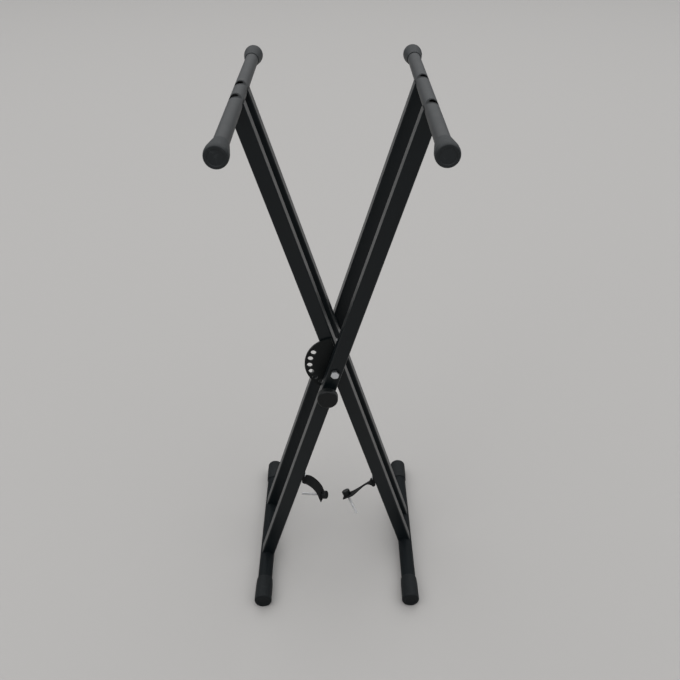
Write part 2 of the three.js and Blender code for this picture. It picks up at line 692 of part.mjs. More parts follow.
for (const frame of [outer, inner]) {
  const strap = STRAPS[frame.base];
  const sections = strapSections(frame, strap);
  const { at, along, upper } = sections.at(-1);
  const eyelet = at.clone().addScaledVector(along, -STRAP_END / 2);
  const under = eyelet.clone().addScaledVector(upper, -STRAP_THICKNESS / 2);
  const punch = rodY(PEG_RADIUS + SCREW_CLEARANCE, -PEG_KNOB_RADIUS, PEG_KNOB_RADIUS);
  const eyeletHole = aimed(punch, eyelet, upper);
  const strapBody = cut(ribbon(sections), eyeletHole, strapScrewHole(frame));
  const headX = LEG_SIDE / 2 + SEAT + STRAP_THICKNESS + SEAT;
  const head = new THREE.Vector3(frame.side * headX, -frame.tubeY, -strap.below);
  const outwards = new THREE.Vector3(frame.side, 0, 0);
  add(frame, `${frame.base}_strap`, strapBody, webbing);
  add(frame, `${frame.base}_strap_screw`, aimed(panScrew(), head, outwards), zinc);
  add(frame, `${frame.base}_peg`, aimed(turned(pegProfile, SCREW_SIDES), under, upper), plainSteel);
  add(frame, `${frame.base}_peg_knob`, aimed(turned(pegKnobProfile), under, upper), blackPlastic);
}

export default stand;
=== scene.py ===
# %% [markdown]
# # Folding keyboard stand
# A double-braced X of black square tubes with round bars on top, round tubes on the floor, rubber
# caps and feet, and a sprung lock on a fan-shaped plate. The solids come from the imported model,
# already in metres and in place. Here each visible piece gets its fine shape and its finish: first
# the view and the light, then the finishes, then the pieces from the tubes down to the screws.

# %% Load the frame
import json
import math

import bpy
from mathutils import Matrix, Vector


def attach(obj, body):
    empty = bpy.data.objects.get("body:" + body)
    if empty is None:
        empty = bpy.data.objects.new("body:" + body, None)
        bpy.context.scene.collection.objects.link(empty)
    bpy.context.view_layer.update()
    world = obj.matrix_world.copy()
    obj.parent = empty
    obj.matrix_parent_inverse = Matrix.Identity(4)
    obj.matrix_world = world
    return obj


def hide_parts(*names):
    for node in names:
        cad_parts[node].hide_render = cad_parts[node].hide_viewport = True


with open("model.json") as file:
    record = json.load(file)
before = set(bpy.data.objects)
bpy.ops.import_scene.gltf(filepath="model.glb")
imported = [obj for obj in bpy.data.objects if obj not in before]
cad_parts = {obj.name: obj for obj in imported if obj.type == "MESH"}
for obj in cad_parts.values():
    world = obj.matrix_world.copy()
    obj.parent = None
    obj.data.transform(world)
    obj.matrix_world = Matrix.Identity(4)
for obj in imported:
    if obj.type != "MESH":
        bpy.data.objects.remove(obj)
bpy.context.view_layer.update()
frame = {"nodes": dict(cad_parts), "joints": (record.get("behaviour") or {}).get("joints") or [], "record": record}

# %% [markdown]
# ## Sizes
# Millimetres, as on the drawing of the stand. Both frames turn on one pivot, so each piece is drawn
# in its frame's upright coordinates, with the pivot at the origin, and then leant into place.
# The outer frame's top leans right, the inner frame's leans left.

# %% Driving dimensions
MM = 0.001
SEAT = 0.3
LEAN = math.radians(17.2)
PIVOT = Vector(next(j for j in frame["joints"] if j["name"] == "fold")["pos_m"])

LEG_SIDE, LEG_WALL, LEG_CORNER, LEG_LAP = 25, 1.2, 2.5, 2
LEG_UPPER, LEG_LOWER = 475, 485
BAR_WALL = 1.2
TOP_BAR = {"name": "top", "sign": 1, "radius": 11, "length": 516, "axis": LEG_UPPER}
BASE_TUBE = {"name": "base", "sign": -1, "radius": 14, "length": 376, "axis": -LEG_LOWER}
OUTER = {"name": "outer", "side": 1, "tube_y": 68, "top": "right", "base": "left"}
INNER = {"name": "inner", "side": -1, "tube_y": 35, "top": "left", "base": "right"}
FRAMES = (OUTER, INNER)

PIVOT_BORE = 4.35
ACCESS_HOLE_RADIUS = 7.5
SCREW_HOLE = 3.4
LOCK_RADIUS = 44.6
BARREL_RADIUS = 8
OUTER_FACE = OUTER["tube_y"] + LEG_SIDE / 2
OUTER_BACK = OUTER["tube_y"] - LEG_SIDE / 2
INNER_FACE = INNER["tube_y"] + LEG_SIDE / 2
INNER_BACK = INNER["tube_y"] - LEG_SIDE / 2
PLATE_THICKNESS = 4
PLATE_FRONT = INNER_FACE + SEAT + PLATE_THICKNESS

STRAP_WIDTH, STRAP_THICKNESS, STRAP_TAB, STRAP_FLAT, STRAP_END = 24, 2, 10, 6, 18
STRAP_TWIST = 0.3
STRAPS = {
    "left": {
        "below": 255, "knee": (19, -11), "knee_handle": (32.6, -7.5),
        "tip_handle": (51.3, -24.7), "tip": (56.8, -33.1), "early_roll": 12, "tip_roll": 20,
    },
    "right": {
        "below": 298, "knee": (19, -11), "knee_handle": (25, 0),
        "tip_handle": (54.6, -25.8), "tip": (68.4, -28), "early_roll": -32, "tip_roll": -19,
    },
}


def leaning(owner):
    """From a frame's upright coordinates to the stand's."""
    return Matrix.Translation(PIVOT) @ Matrix.Rotation(owner["side"] * LEAN, 4, "Y")


print("pivot height", round(PIVOT.z, 4))

# %% [markdown]
# ## The view
# The camera stands where the photograph's did, found by fitting the stand's straight edges. It
# looks down from above head height, so the tops of the bars and of the leaning tubes show.

# %% Camera
FOCAL_PIXELS, IMAGE_PIXELS, SENSOR = 765.75, 680, 36
YAW, PITCH, ROLL = 0.00206, 0.58306, -0.0051
FROM_PIVOT = Vector((6.8, -1153.8, 777.8)) * MM

camera_data = bpy.data.cameras.new("view")
camera = bpy.data.objects.new("view", camera_data)
bpy.context.scene.collection.objects.link(camera)
camera_data.sensor_width = SENSOR
camera_data.lens = FOCAL_PIXELS / IMAGE_PIXELS * SENSOR

forward = Vector((
    math.sin(YAW) * math.cos(PITCH),
    math.cos(YAW) * math.cos(PITCH),
    -math.sin(PITCH),
))
level_right = Vector((math.cos(YAW), -math.sin(YAW), 0))
level_up = level_right.cross(forward)
right = math.cos(ROLL) * level_right + math.sin(ROLL) * level_up
turn = Matrix((right, right.cross(forward), -forward)).transposed().to_4x4()
camera.matrix_world = Matrix.Translation(PIVOT + FROM_PIVOT) @ turn
bpy.context.scene.camera = camera
print("lens", round(camera_data.lens, 2), "height", round(camera.location.z, 3))

# %% [markdown]
# ## Floor and light
# A pale floor that runs out of view and one large soft lamp overhead. The overhead lamp turns the
# upper sides of the satin tubes grey while their fronts stay nearly black, as in the photograph.
# A weak, even sky keeps the shadows open. It looks paler to the camera and in mirrors than its
# light is, so that the floor runs into it softly.


# %% Floor and lamps
def area_lamp(name, location, target, size, watts):
    data = bpy.data.lights.new(name, "AREA")
    data.shape = "RECTANGLE"
    data.size, data.size_y = size
    data.energy = watts
    lamp = bpy.data.objects.new(name, data)
    bpy.context.scene.collection.objects.link(lamp)
    lamp.location = location
    lamp.rotation_euler = (Vector(target) - Vector(location)).to_track_quat("-Z", "Y").to_euler()


FLOOR_SIZE, FLOOR_COLOUR, FLOOR_ROUGHNESS = 40, (0.44, 0.43, 0.42, 1), 0.8
bpy.ops.object.select_all(action="DESELECT")
bpy.ops.mesh.primitive_plane_add(size=FLOOR_SIZE, location=(0, 0, 0))
floor = bpy.context.object
floor.name = "floor"
pale = bpy.data.materials.new("pale_floor")
pale.use_nodes = True
pale_shader = pale.node_tree.nodes["Principled BSDF"]
pale_shader.inputs["Base Color"].default_value = FLOOR_COLOUR
pale_shader.inputs["Roughness"].default_value = FLOOR_ROUGHNESS
floor.data.materials.append(pale)

area_lamp("ceiling_lamp", location=(0, 2, 5.5), target=(0, 2, 0), size=(18, 18), watts=1180)
area_lamp("front_lamp", location=(-1.6, -2.2, 2.6), target=(0, 0, 0.5), size=(1.2, 1.2), watts=5)

# %% Sky
SKY_COLOUR, SKY_LIGHT, SKY_LOOK = (0.82, 0.84, 0.86, 1), 0.2, 0.4

world = bpy.data.worlds.new("room")
bpy.context.scene.world = world
world.use_nodes = True
sky_nodes, sky_links = world.node_tree.nodes, world.node_tree.links
background = sky_nodes["Background"]
background.inputs["Color"].default_value = SKY_COLOUR
light_path = sky_nodes.new("ShaderNodeLightPath")
seen = sky_nodes.new("ShaderNodeMath")
seen.operation = "MAXIMUM"
strength = sky_nodes.new("ShaderNodeMapRange")
strength.inputs["To Min"].default_value = SKY_LIGHT
strength.inputs["To Max"].default_value = SKY_LOOK
sky_links.new(light_path.outputs["Is Camera Ray"], seen.inputs[0])
sky_links.new(light_path.outputs["Is Glossy Ray"], seen.inputs[1])
sky_links.new(seen.outputs["Value"], strength.inputs["Value"])
sky_links.new(strength.outputs["Result"], background.inputs["Strength"])
bpy.context.scene.view_settings.view_transform = "Standard"
print("sky strength", SKY_LIGHT, "as light,", SKY_LOOK, "as seen")

# %% [markdown]
# ## Writing a finish as arithmetic
# A finish is a small graph of nodes. To keep it readable, a socket is wrapped so that `+`, `-`,
# `*` and `>` add Math nodes, and every other node comes from one method. Patterns lie in the
# piece's own coordinates, in metres, so that they keep their real size.


# %% Finish helpers
class Wire:
    """One output socket of a finish."""

    def __init__(self, finish, socket):
        self.finish = finish
        self.socket = socket

    def _math(self, operation, first, second):
        inputs = {0: first, 1: second}
        return self.finish.node("ShaderNodeMath", "Value", inputs, operation=operation)

    def __add__(self, other):
        return self._math("ADD", self, other)

    def __radd__(self, other):
        return self._math("ADD", other, self)

    def __sub__(self, other):
        return self._math("SUBTRACT", self, other)

    def __rsub__(self, other):
        return self._math("SUBTRACT", other, self)

    def __mul__(self, other):
        return self._math("MULTIPLY", self, other)

    def __rmul__(self, other):
        return self._math("MULTIPLY", other, self)

    def __gt__(self, other):
        return self._math("GREATER_THAN", self, other)


class Finish:
    """A material whose Principled shader is fed by named sockets."""

    def __init__(self, name, **constants):
        self.material = bpy.data.materials.new(name)
        self.material.use_nodes = True
        self.tree = self.material.node_tree
        self.shader = self.tree.nodes["Principled BSDF"]
        self.feed(**constants)

    def node(self, kind, output, inputs, **settings):
        """Adds a node of a kind and returns one of its outputs."""
        made = self.tree.nodes.new(kind)
        for key, value in settings.items():
            setattr(made, key, value)
        for key, value in inputs.items():
            self._set(made.inputs[key], value)
        return Wire(self, made.outputs[output])

    def _set(self, socket, value):
        if isinstance(value, Wire):
            self.tree.links.new(value.socket, socket)
        else:
            socket.default_value = value

    def feed(self, **sockets):
        """Feeds the shader, as in feed(base_color=..., roughness=...)."""
        for key, value in sockets.items():
            label = key.replace("_", " ").title().replace("Ior", "IOR")
            self._set(self.shader.inputs[label], value)

    def noise(self, per_metre, detail=2.0, roughness=0.5, stretch=(1, 1, 1)):
        """Noise of a given fineness on the piece's own coordinates, from 0 to 1."""
        place = self.node("ShaderNodeTexCoord", "Object", {})
        place = self.node("ShaderNodeMapping", "Vector", {"Vector": place, "Scale": stretch})
        inputs = {"Vector": place, "Scale": per_metre, "Detail": detail, "Roughness": roughness}
        return self.node("ShaderNodeTexNoise", "Fac", inputs)

    def near(self, points, reach):
        """1 at any of some places in metres, falling to 0 at a reach from it."""
        place = self.node("ShaderNodeTexCoord", "Object", {})
        total = 0.0
        for point in points:
            inputs = {0: place, 1: point}
            away = self.node("ShaderNodeVectorMath", "Value", inputs, operation="DISTANCE")
            closeness = 1.0 - away * (1 / reach)
            total = closeness * (closeness > 0.0) + total
        return total

    def blend(self, factor, first, second):
        """A colour between two, by a factor from 0 to 1."""
        inputs = {0: factor}
        for index, colour in ((6, first), (7, second)):
            inputs[index] = colour if isinstance(colour, Wire) else (*colour, 1)
        return self.node("ShaderNodeMix", 2, inputs, data_type="RGBA")

    def bump(self, height, depth_mm, strength):
        """Raises the surface by a height from 0 to 1 times a depth."""
        inputs = {"Height": height, "Distance": depth_mm * MM, "Strength": strength}
        self.feed(normal=self.node("ShaderNodeBump", "Normal", inputs))


def shade(colour, factor, lift=0.0):
    return tuple(c * factor + lift for c in colour)


# %% [markdown]
# ## Powder coat
# The tubes are sprayed with powder and baked. That leaves a satin black skin with a ripple of
# orange peel less than a millimetre across, a gloss that clouds a little from place to place, and
# specks of dust. A gloss paint would be smoother, a plain black would look like plastic, so three
# sizes of noise share the work: fine for the peel, broad for the cloud and middling for the dust.
# Round the holes on top of the bars the coat is rougher, and its colour is darkened there as painted shade of the
# holes.


# %% Powder coat
PEEL_PER_METRE, CLOUD_PER_METRE, DUST_PER_METRE = 1300, 34, 380
PEEL_MM, DUST_FROM = 0.06, 0.64
DULL_AND_SHADE_REACH, DULL_AND_SHADE_HEIGHT = 14, 11
HOLE_PLACES = [
    leaning(owner) @ (Vector((0, y, TOP_BAR["axis"] + DULL_AND_SHADE_HEIGHT)) * MM)
    for owner in FRAMES for y in (-owner["tube_y"], owner["tube_y"])
]


def powder_coat(name, colour, roughness, specular, dull_and_shade_places=()):
    finish = Finish(name, specular_ior_level=specular)
    peel = finish.noise(PEEL_PER_METRE, detail=3)
    cloud = finish.noise(CLOUD_PER_METRE, detail=4)
    dust = finish.noise(DUST_PER_METRE, detail=5, roughness=0.7)
    tinted = finish.blend(cloud, shade(colour, 0.75), shade(colour, 1.2))
    dust_and_shade = finish.blend((dust > DUST_FROM) * cloud * 0.5, tinted, shade(colour, 2.5, 0.015))
    rough = cloud * 0.14 + (roughness - 0.07) + dust * 0.05
    # Near the holes the coat gets rougher, and its colour is darkened as painted shade of the holes.
    if dull_and_shade_places:
        dull_and_shade = finish.near(dull_and_shade_places, DULL_AND_SHADE_REACH * MM) * (dust + 0.5)
        rough = rough + dull_and_shade * 2.0
        dust_and_shade = finish.blend(dull_and_shade * 1.2, dust_and_shade, shade(colour, 0.2))
    finish.feed(base_color=dust_and_shade, roughness=rough)
    finish.bump(peel, PEEL_MM, 0.35)
    return finish.material


COAT = powder_coat(
    "satin_powder_coat", (0.0042, 0.0066, 0.0080), roughness=0.33, specular=0.27)
BASE_COAT = powder_coat(
    "base_powder_coat", (0.0042, 0.0062, 0.0074), roughness=0.55, specular=0.10)
# The bars take the legs' satin powder coat in a paler colour, as painted light from the lamp above.
LIT_BAR_COAT = powder_coat(
    "lit_bar_powder_coat", (0.0130, 0.0155, 0.0172), roughness=0.50, specular=0.52,
    dull_and_shade_places=HOLE_PLACES)
PLATE_COAT = powder_coat(
    "plate_powder_coat", (0.0035, 0.0050, 0.0052), roughness=0.38, specular=0.2)
print("powder coats", len(HOLE_PLACES), "dull places")

# %% [markdown]
# ## Rubber, plastic and nylon
# Caps and feet are soft moulded rubber: duller than the paint, with a fine grain and pale scuffs
# where they are handled. Knobs are hard plastic with a finer grain and more gloss, and the spacers
# are nylon. The same graph serves all of them with other numbers.

# %% Moulded finishes
SCUFFS_PER_METRE, SCUFFS_FROM = 85, 0.58


def moulded(name, colour, roughness, grain_per_metre, grain_mm, scuffed, specular):
    finish = Finish(name, specular_ior_level=specular)
    grain = finish.noise(grain_per_metre, detail=4, roughness=0.6)
    scuffs = finish.noise(SCUFFS_PER_METRE, detail=7, roughness=0.75)
    worn = (scuffs > SCUFFS_FROM) * scuffs * scuffed
    finish.feed(
        base_color=finish.blend(worn, colour, shade(colour, 2.2, 0.01)),
        roughness=scuffs * 0.2 + grain * 0.08 + (roughness - 0.14),
    )
    finish.bump(grain, grain_mm, 0.4)
    return finish.material


CAP_RUBBER = moulded(
    "cap_rubber", (0.0115, 0.0142, 0.0160), roughness=0.58,
    grain_per_metre=2300, grain_mm=0.06, scuffed=0.6, specular=0.34)
FOOT_RUBBER = moulded(
    "foot_rubber", (0.0050, 0.0068, 0.0078), roughness=0.60,
    grain_per_metre=2300, grain_mm=0.06, scuffed=0.4, specular=0.18)
KNOB_PLASTIC = moulded(
    "knob_plastic", (0.0035, 0.0045, 0.0048), roughness=0.40,
    grain_per_metre=3200, grain_mm=0.02, scuffed=0.3, specular=0.24)
NYLON = moulded(
    "spacer_nylon", (0.0190, 0.0205, 0.0215), roughness=0.55,
    grain_per_metre=2600, grain_mm=0.03, scuffed=0.3, specular=0.3)
print("moulded", [m.name for m in (CAP_RUBBER, FOOT_RUBBER, KNOB_PLASTIC, NYLON)])

# %% [markdown]
# ## Bright and plain steel
# Zinc plating is a bright, slightly blue metal with a cloudy gloss and a fine grit. Turned pins
# and rods show faint rings across their length instead. Both are one metal graph: the noise is
# left round for plating and stretched for turned steel.

# %% Metal finishes
GRIT_PER_METRE, PLATING_CLOUDS_PER_METRE, GRIT_MM = 1100, 190, 0.03
EVEN, RINGED = (1, 1, 1), (0.3, 2.5, 0.3)


def metal(name, colour, roughness, stretch):
    finish = Finish(name, metallic=1.0)
    grit = finish.noise(GRIT_PER_METRE, detail=4, stretch=stretch)
    cloud = finish.noise(PLATING_CLOUDS_PER_METRE, detail=5, roughness=0.65)
    finish.feed(
        base_color=finish.blend(cloud, shade(colour, 0.68), colour),
        roughness=grit * 0.16 + cloud * 0.12 + (roughness - 0.14),
    )
    finish.bump(grit, GRIT_MM, 0.5)
    return finish.material


ZINC = metal("zinc_plating", (0.78, 0.80, 0.83), roughness=0.38, stretch=EVEN)
BLACK_ZINC = metal("black_zinc_plating", (0.030, 0.032, 0.034), roughness=0.42, stretch=EVEN)
PLAIN_STEEL = metal("turned_steel", (0.80, 0.80, 0.81), roughness=0.42, stretch=RINGED)
print("metals", [m.name for m in (ZINC, BLACK_ZINC, PLAIN_STEEL)])

# %% [markdown]
# ## Webbing
# The straps are woven black webbing. The weave itself is modelled, because its bumps break up the
# strap's outline. The finish adds spun yarn: a dull black that varies from thread to thread, fine
# fibres in the bump and a soft sheen at glancing angles.

# %% Webbing finish
YARN_PER_METRE, FADE_PER_METRE, YARN_MM = 2600, 110, 0.08
DARK_YARN, PALE_YARN = (0.0015, 0.0015, 0.0018), (0.0085, 0.0088, 0.0095)

webbing = Finish("black_webbing", sheen_weight=0.05, sheen_roughness=0.6, specular_ior_level=0.15)
yarn = webbing.noise(YARN_PER_METRE, detail=4, roughness=0.7)
fade = webbing.noise(FADE_PER_METRE, detail=3)
webbing.feed(
    base_color=webbing.blend(yarn * 0.6 + fade * 0.4, DARK_YARN, PALE_YARN),
    roughness=0.98 - yarn * 0.14,
)
webbing.bump(yarn, YARN_MM, 0.6)
WEBBING = webbing.material
print("finishes", len(bpy.data.materials))

# %% [markdown]
# ## Making and placing pieces
# Most pieces are one outline spun about its axis, or one outline extruded, then cut by others.
# These helpers do that with the ordinary operators. A finished piece has its place in its mesh,
# rides on its body and stands in for the solid of the same name.


# %% Object helpers
def select_only(*pieces):
    bpy.ops.object.select_all(action="DESELECT")
    for piece in pieces:
        piece.select_set(True)
    bpy.context.view_layer.objects.active = pieces[0]


def edit(piece, *steps):
    """Runs mesh operators on all of a piece."""
    select_only(piece)
    bpy.ops.object.mode_set(mode="EDIT")
    for step in steps:
        bpy.ops.mesh.select_all(action="SELECT")
        step()
    bpy.ops.object.mode_set(mode="OBJECT")
    return piece


def apply_modifier(piece, kind, **settings):
    modifier = piece.modifiers.new(kind.lower(), kind)
    for key, value in settings.items():
        setattr(modifier, key, value)
    select_only(piece)
    bpy.ops.object.modifier_apply(modifier=modifier.name)
    return piece


def cut(piece, *tools, operation="DIFFERENCE"):
    """Cuts a piece by tools, which are used up."""
    for tool in tools:
        apply_modifier(piece, "BOOLEAN", operation=operation, object=tool, solver="EXACT")
        bpy.data.objects.remove(tool)
    return piece


def drawn(points, links):
    """A piece made of points in millimetres and the edges between them."""
    mesh = bpy.data.meshes.new("outline")
    mesh.from_pydata([Vector(point) * MM for point in points], links, [])
    piece = bpy.data.objects.new("outline", mesh)
    bpy.context.scene.collection.objects.link(piece)
    return piece


def twin(piece):
    """A copy with its own mesh."""
    copy = piece.copy()
    copy.data = piece.data.copy()
    bpy.context.scene.collection.objects.link(copy)
    return copy


def tidy(piece):
    """Merges doubles and turns the faces outwards."""
    return edit(
        piece,
        lambda: bpy.ops.mesh.remove_doubles(threshold=1e-6),
        lambda: bpy.ops.mesh.normals_make_consistent(inside=False),
    )


def spun(outline, steps=96):
    """An outline of (radius, height) turned about Z. One that starts off the axis is a ring."""
    links = [(i, i + 1) for i in range(len(outline) - 1)]
    if outline[0][0] > 0:
        links.append((len(outline) - 1, 0))
    piece = drawn([(r, 0, h) for r, h in outline], links)
    turn = {"steps": steps, "angle": math.tau, "center": (0, 0, 0), "axis": (0, 0, 1)}
    return tidy(edit(piece, lambda: bpy.ops.mesh.spin(**turn)))


def rod(radius, low, high, steps=64):
    return spun([(0, low), (radius, low), (radius, high), (0, high)], steps)


def extruded(outline, direction):
    """A flat outline of points, filled and extruded."""
    count = len(outline)
    piece = drawn(outline, [(i, (i + 1) % count) for i in range(count)])
    move = {"value": Vector(direction) * MM}
    return tidy(edit(
        piece,
        lambda: bpy.ops.mesh.edge_face_add(),
        lambda: bpy.ops.mesh.extrude_region_move(TRANSFORM_OT_translate=move),
    ))


def put(piece, matrix):
    """Moves a piece's mesh, with its object left at the origin."""
    piece.matrix_world = matrix
    select_only(piece)
    bpy.ops.object.transform_apply(location=True, rotation=True, scale=True)
    return piece


def at(x, y, z):
    return Matrix.Translation(Vector((x, y, z)) * MM)


def facing(x, y, z, direction):
    """A place where a piece's own Z points along a direction."""
    return at(x, y, z) @ Vector(direction).to_track_quat("Z", "Y").to_matrix().to_4x4()


def along_y(x, y, z, sign):
    """A place where a piece's own Z points backwards, or to the front with a sign of -1."""
    return at(x, y, z) @ Matrix.Rotation(-sign * math.pi / 2, 4, "X")


def body_of(node):
    return next(name for name, nodes in BODIES.items() if node in nodes)


def finished(piece, node, owner, material, matrix=Matrix(), smooth_degrees=32):
    """Leans a piece into place and lets it stand in for the solid of its name."""
    put(piece, leaning(owner) @ matrix)
    bpy.ops.object.shade_smooth_by_angle(angle=math.radians(smooth_degrees))
    apply_modifier(piece, "WEIGHTED_NORMAL", keep_sharp=True)
    piece.name = piece.data.name = f"{node}_finished"
    piece.data.materials.clear()
    piece.data.materials.append(material)
    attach(piece, body_of(node))
    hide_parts(node)
    return piece


def rounded(radius, height, inset, drop, steps):
    """A rounded edge from a side to an end face, as (radius, height) points."""
    turns = [i / steps * math.pi / 2 for i in range(steps + 1)]
    return [(radius - inset * (1 - math.cos(a)), height - drop * (1 - math.sin(a))) for a in turns]


BODIES = frame["record"]["behaviour"]["bodies"]
SLOTS = {part["node"]: part["material_slot"] for part in frame["record"]["subparts"]}
print("nodes", len(SLOTS))

# %% [markdown]
# ## Legs
# Square steel tube with rounded corners, saddled at both ends to sit on the round bars, and drilled
# for the pivot, the strap screw and, on the front outer tube, the lock's barrel. A bevelled box
# would have no bore at its saddles, so the tube is two rounded squares, one cut from the other.


# %% Square tubes
CORNER_STEPS = 6
STRAP_SCREW_RADIUS, HOLE_EASE = 1.75, 0.4


def rounded_square(side, corner, z):
    flat = side / 2 - corner
    points = []
    for i, (x, y) in enumerate(((flat, flat), (-flat, flat), (-flat, -flat), (flat, -flat))):
        for k in range(CORNER_STEPS + 1):
            angle = (i + k / CORNER_STEPS) * math.pi / 2
            points.append((x + corner * math.cos(angle), y + corner * math.sin(angle), z))
    return points


def leg_tube():
    """The tube that all four legs are cut from."""
    low, high = LEG_LAP - LEG_LOWER, LEG_UPPER - LEG_LAP
    tube = extruded(rounded_square(LEG_SIDE, LEG_CORNER, low), (0, 0, high - low))
    bore_side = LEG_SIDE - 2 * LEG_WALL
    bore = rounded_square(bore_side, LEG_CORNER - LEG_WALL, low - LEG_LAP)
    tools = [extruded(bore, (0, 0, high - low + 2 * LEG_LAP))]
    holes = [(bar["radius"] + SEAT, bar["axis"]) for bar in (TOP_BAR, BASE_TUBE)]
    tools += [leg_drill(r, z) for r, z in (*holes, (PIVOT_BORE, 0))]
    return cut(tube, *tools)


def leg_drill(radius, z):
    return put(rod(radius, -LEG_SIDE, LEG_SIDE), along_y(0, 0, z, 1))


plain_leg = leg_tube()
for owner in FRAMES:
    rear, front = twin(plain_leg), twin(plain_leg)
    strap_hole = rod(STRAP_SCREW_RADIUS + HOLE_EASE, 0, LEG_SIDE)
    below = STRAPS[owner["base"]]["below"]
    cut(front, put(strap_hole, facing(0, 0, -below, (owner["side"], 0, 0))))
    if owner is OUTER:
        cut(front, leg_drill(BARREL_RADIUS + SEAT, -LOCK_RADIUS))
    finished(rear, f"{owner['name']}_rear_leg", owner, COAT, at(0, owner["tube_y"], 0))
    finished(front, f"{owner['name']}_front_leg", owner, COAT, at(0, -owner["tube_y"], 0))
    print(front.name, len(front.data.polygons), "faces")
bpy.data.objects.remove(plain_leg)

# %% [markdown]
# ## Bars
# Round tube, drilled at each leg: a small hole for the screw and, opposite, a large one that lets
# the screw head and the key through. The large holes are the dark marks on top of the bars. A ring
# is spun and the drills are cut from it, which gives the holes their true saddle-shaped rims.

# %% Round tubes
BAR_CHAMFER = 0.3


def bar_tube(bar, tube_y):
    radius, half = bar["radius"], bar["length"] / 2
    inside, eased = radius - BAR_WALL, radius - BAR_CHAMFER
    outline = [
        (inside, -half), (eased, -half), (radius, BAR_CHAMFER - half),
        (radius, half - BAR_CHAMFER), (eased, half), (inside, half),
    ]
    tube = put(spun(outline, steps=128), along_y(0, 0, 0, 1))
    for y in (-tube_y, tube_y):
        access = rod(ACCESS_HOLE_RADIUS, 0, 2 * radius)
        put(access, facing(0, y, 0, (0, 0, bar["sign"])))
        screw_hole = rod(SCREW_HOLE, 0, 2 * radius)
        put(screw_hole, facing(0, y, 0, (0, 0, -bar["sign"])))
        cut(tube, access, screw_hole)
    return tube


for owner in FRAMES:
    top_bar = bar_tube(TOP_BAR, owner["tube_y"])
    finished(top_bar, f"{owner['top']}_top_bar", owner, LIT_BAR_COAT, at(0, 0, TOP_BAR["axis"]))
    base_tube = bar_tube(BASE_TUBE, owner["tube_y"])
    finished(base_tube, f"{owner['base']}_base_tube", owner, BASE_COAT, at(0, 0, BASE_TUBE["axis"]))
print("bars done")

# %% [markdown]
# ## Top caps and feet
# Each is a rubber cup pushed over a bar. The top caps flare to a fat end with a crisp, flat face;
# the feet are straight behind a short tapered mouth and have a narrow level tread on the floor.
# All have a soft lip at the mouth and a shallow dish in the face.

# %% Cap outlines
CAP_END_WALL, DISH_DEPTH, DISH_RIM = 3.7, 0.8, 3.5
DISH_EDGE = ((0, 1), (0.25, 0.8), (0.6, 0.2), (0.9, 0))  # outwards, share of the dish's depth
LIP_EDGE = ((0.1, 0.5), (0.45, 0))  # inwards from the lip, height
CONE_FOOT, CONE_SHOULDER, EDGE_STEPS = 2, 2.5, 12
TOP_CAP = {
    "name": "top_cap", "bar": TOP_BAR, "length": 44, "radius": 16.4, "mouth": 1.0, "cone": 32,
    "inset": 2.4, "drop": 8, "rubber": CAP_RUBBER,
}
FOOT = {
    "name": "foot", "bar": BASE_TUBE, "length": 52, "radius": 16.5, "mouth": 1.2, "cone": 17,
    "inset": 3, "drop": 3, "rubber": FOOT_RUBBER,
}


def cap_cup(cap):
    """A cap's outline with its mouth at 0, from the axis outside to the axis inside."""
    length, radius = cap["length"], cap["radius"]
    bore = cap["bar"]["radius"] + SEAT
    lip = bore + cap["mouth"]
    rim = radius - cap["inset"] - DISH_RIM
    slope = (radius - lip) / cap["cone"]
    return [
        (0, length - DISH_DEPTH),
        *[(rim + outwards, length - DISH_DEPTH * share) for outwards, share in DISH_EDGE],
        *reversed(rounded(radius, length, cap["inset"], cap["drop"], EDGE_STEPS)),
        (radius - slope * CONE_FOOT, cap["cone"] - CONE_SHOULDER),
        (lip + slope * CONE_FOOT, CONE_FOOT),
        *[(lip - inwards, height) for inwards, height in LIP_EDGE],
        (bore, 0),
        (bore, length - CAP_END_WALL),
        (0, length - CAP_END_WALL),
    ]


def floor_block(owner):
    """Everything below the floor, in a frame's upright coordinates."""
    bpy.ops.mesh.primitive_cube_add(size=1, location=(0, 0, -0.5))
    return put(bpy.context.object, leaning(owner).inverted() @ bpy.context.object.matrix_world)


def cap_piece(model, owner, cap, place):
    """A copy of a cap on one end of its bar, its tread cut level if it is a foot."""
    sign = 1 if place == "rear" else -1
    reach = cap["bar"]["length"] / 2 + SEAT + CAP_END_WALL - cap["length"]
    cup = put(twin(model), along_y(0, sign * reach, cap["bar"]["axis"], sign))
    if cap is FOOT:
        cut(cup, floor_block(owner))
    side_name = owner["base"] if cap is FOOT else owner["top"]
    return finished(cup, f"{side_name}_{cap['name']}_{place}", owner, cap["rubber"])


for cap in (TOP_CAP, FOOT):
    model = spun(cap_cup(cap))
    for owner in FRAMES:
        for place in ("front", "rear"):
            made = cap_piece(model, owner, cap, place)
    print(made.name, len(made.data.polygons), "faces")
    bpy.data.objects.remove(model)

# %% [markdown]
# ## Frame screws
# A zinc-plated socket-head screw at each end of each leg, seen down the large holes in the bars.
# The head is spun with a chamfered rim and a hexagonal socket is cut into it.

# %% Socket-head screws
SCREW = {
    "radius": 3, "tip": -30, "head": 5, "height": 5, "chamfer": 0.5, "socket": 2.9, "depth": 3,
}


def hexagon_bar(radius, low, high):
    angles = [i * math.pi / 3 for i in range(6)]
    points = [(radius * math.sin(a), radius * math.cos(a), low) for a in angles]
    return extruded(points, (0, 0, high - low))


def frame_screw():
    r, head, chamfer = SCREW["radius"], SCREW["head"], SCREW["chamfer"]
    tip, height = SCREW["tip"], SCREW["height"]
    body = spun([
        (0, tip), (r - chamfer, tip), (r, tip + chamfer), (r, 0),
        (head, 0), (head, height - chamfer), (head - chamfer, height), (0, height),
    ], steps=48)
    return cut(body, hexagon_bar(SCREW["socket"], height - SCREW["depth"], height + 1))


